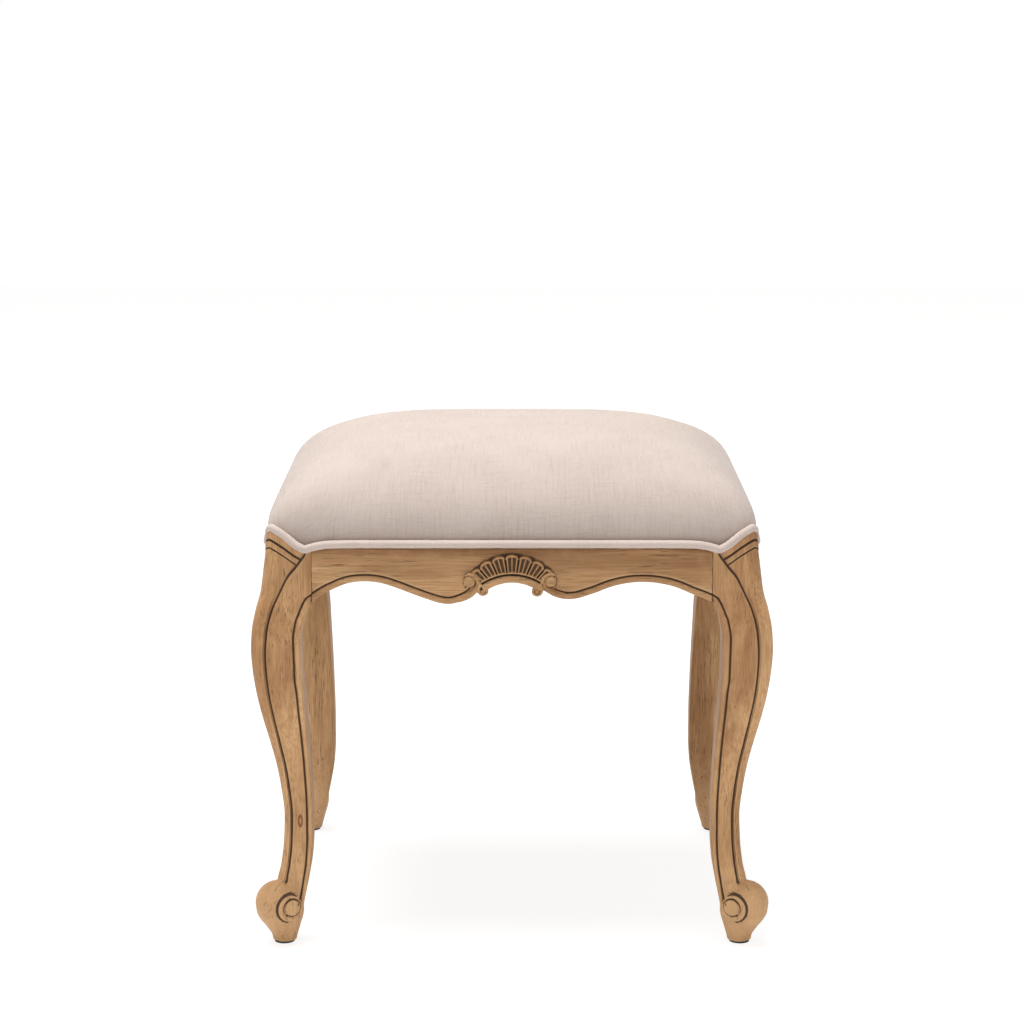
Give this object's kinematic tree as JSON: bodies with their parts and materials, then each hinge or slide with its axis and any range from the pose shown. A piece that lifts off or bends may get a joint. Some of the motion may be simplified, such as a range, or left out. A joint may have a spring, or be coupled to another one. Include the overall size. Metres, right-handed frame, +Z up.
{
  "type": "dressing stool",
  "caption": "Low carved wooden dressing stool with cabriole legs, scroll feet, a shell on the rail and a crowned linen seat edged with piping.",
  "frame": {"origin": "on the floor under the middle of the stool", "axes": "+Z up, -Y towards the front with the pictured shell, +X to the right seen from the front"},
  "size_m": [0.5174, 0.4374, 0.4982],
  "materials": {
    "frame_wood": "satin",
    "brace_wood": "matte",
    "plywood": "matte",
    "linen": "matte",
    "piping": "matte",
    "foam": "matte",
    "wadding": "matte",
    "dust_cloth": "matte",
    "steel": "satin",
    "glide": "matte"
  },
  "bodies": {
    "root": {"leg_front_left": "frame_wood", "leg_front_right": "frame_wood", "leg_rear_left": "frame_wood", "leg_rear_right": "frame_wood", "apron_front": "frame_wood", "apron_rear": "frame_wood", "apron_left": "frame_wood", "apron_right": "frame_wood", "shell_front": "frame_wood", "shell_rear": "frame_wood", "corner_block_front_left": "brace_wood", "corner_block_front_right": "brace_wood", "corner_block_rear_left": "brace_wood", "corner_block_rear_right": "brace_wood", "seat_board": "plywood", "seat_cover": "linen", "seat_welt": "piping", "foam_pad": "foam", "wadding_layer": "wadding", "dust_cover": "dust_cloth", "corner_block_screws": "steel", "seat_screws": "steel", "cover_staples": "steel", "glide_front_left": "glide", "glide_front_right": "glide", "glide_rear_left": "glide", "glide_rear_right": "glide"}
  },
  "joints": []
}
